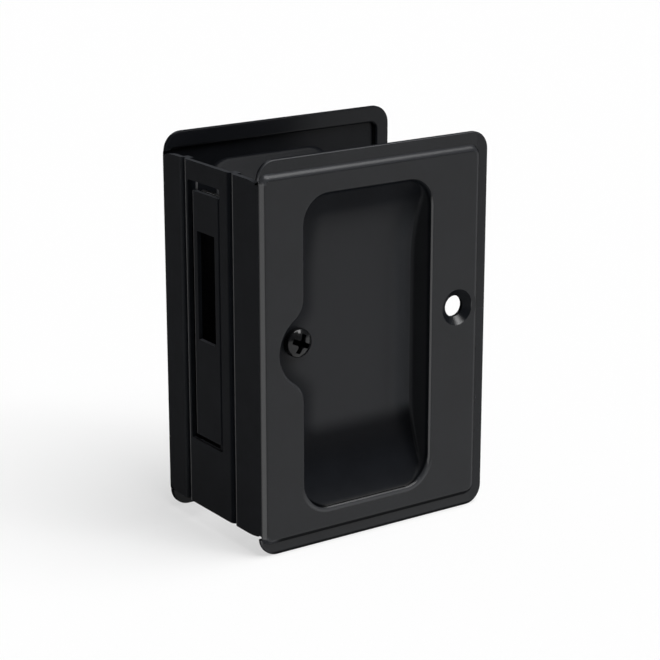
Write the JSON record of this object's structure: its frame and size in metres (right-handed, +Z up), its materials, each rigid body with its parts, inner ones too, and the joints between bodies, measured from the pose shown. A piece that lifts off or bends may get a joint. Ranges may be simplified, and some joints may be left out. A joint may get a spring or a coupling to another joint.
{
  "type": "pocket door lock",
  "caption": "Adjustable pocket door lock receiver with formed satin black plates, finger cups on both door faces, and a sprung slotted pull in its folded edge channel.",
  "frame": {"origin": "bottom centre of the lock's box, closed up, where it stands on the bottom edges of its two rims", "axes": "+X from the door's edge into the door, -Y the front door face, +Z up"},
  "size_m": [0.0572, 0.0384, 0.0825],
  "materials": {
    "satin_black": "satin black powder coat",
    "black_screw": "glossy black plating",
    "plain_steel": "zinc-plated steel",
    "spring_steel": "blackened spring wire"
  },
  "bodies": {
    "front_half": {"front_plate": "satin_black", "edge_channel": "satin_black", "pull_pin": "plain_steel", "pull_spring": "spring_steel", "clamp_screw": "black_screw", "screw_spacer": "plain_steel"},
    "rear_half": {"rear_plate": "satin_black", "sleeve_nut": "black_screw"},
    "pull": {"edge_pull": "satin_black"}
  },
  "joints": [
    {"name": "thickness_slide", "type": "slide", "parent": "front_half", "child": "rear_half", "axis": [0, 1, 0], "range_m": [0, 0.0105]},
    {"name": "pull_swing", "type": "hinge", "parent": "front_half", "child": "pull", "pos_m": [-0.02558, 0, 0.06628], "axis": [0, 1, 0], "range_deg": [0, 30], "stiffness_Nm_per_rad": 0.02, "springref_deg": -28.65, "deforming": ["pull_spring"]}
  ]
}
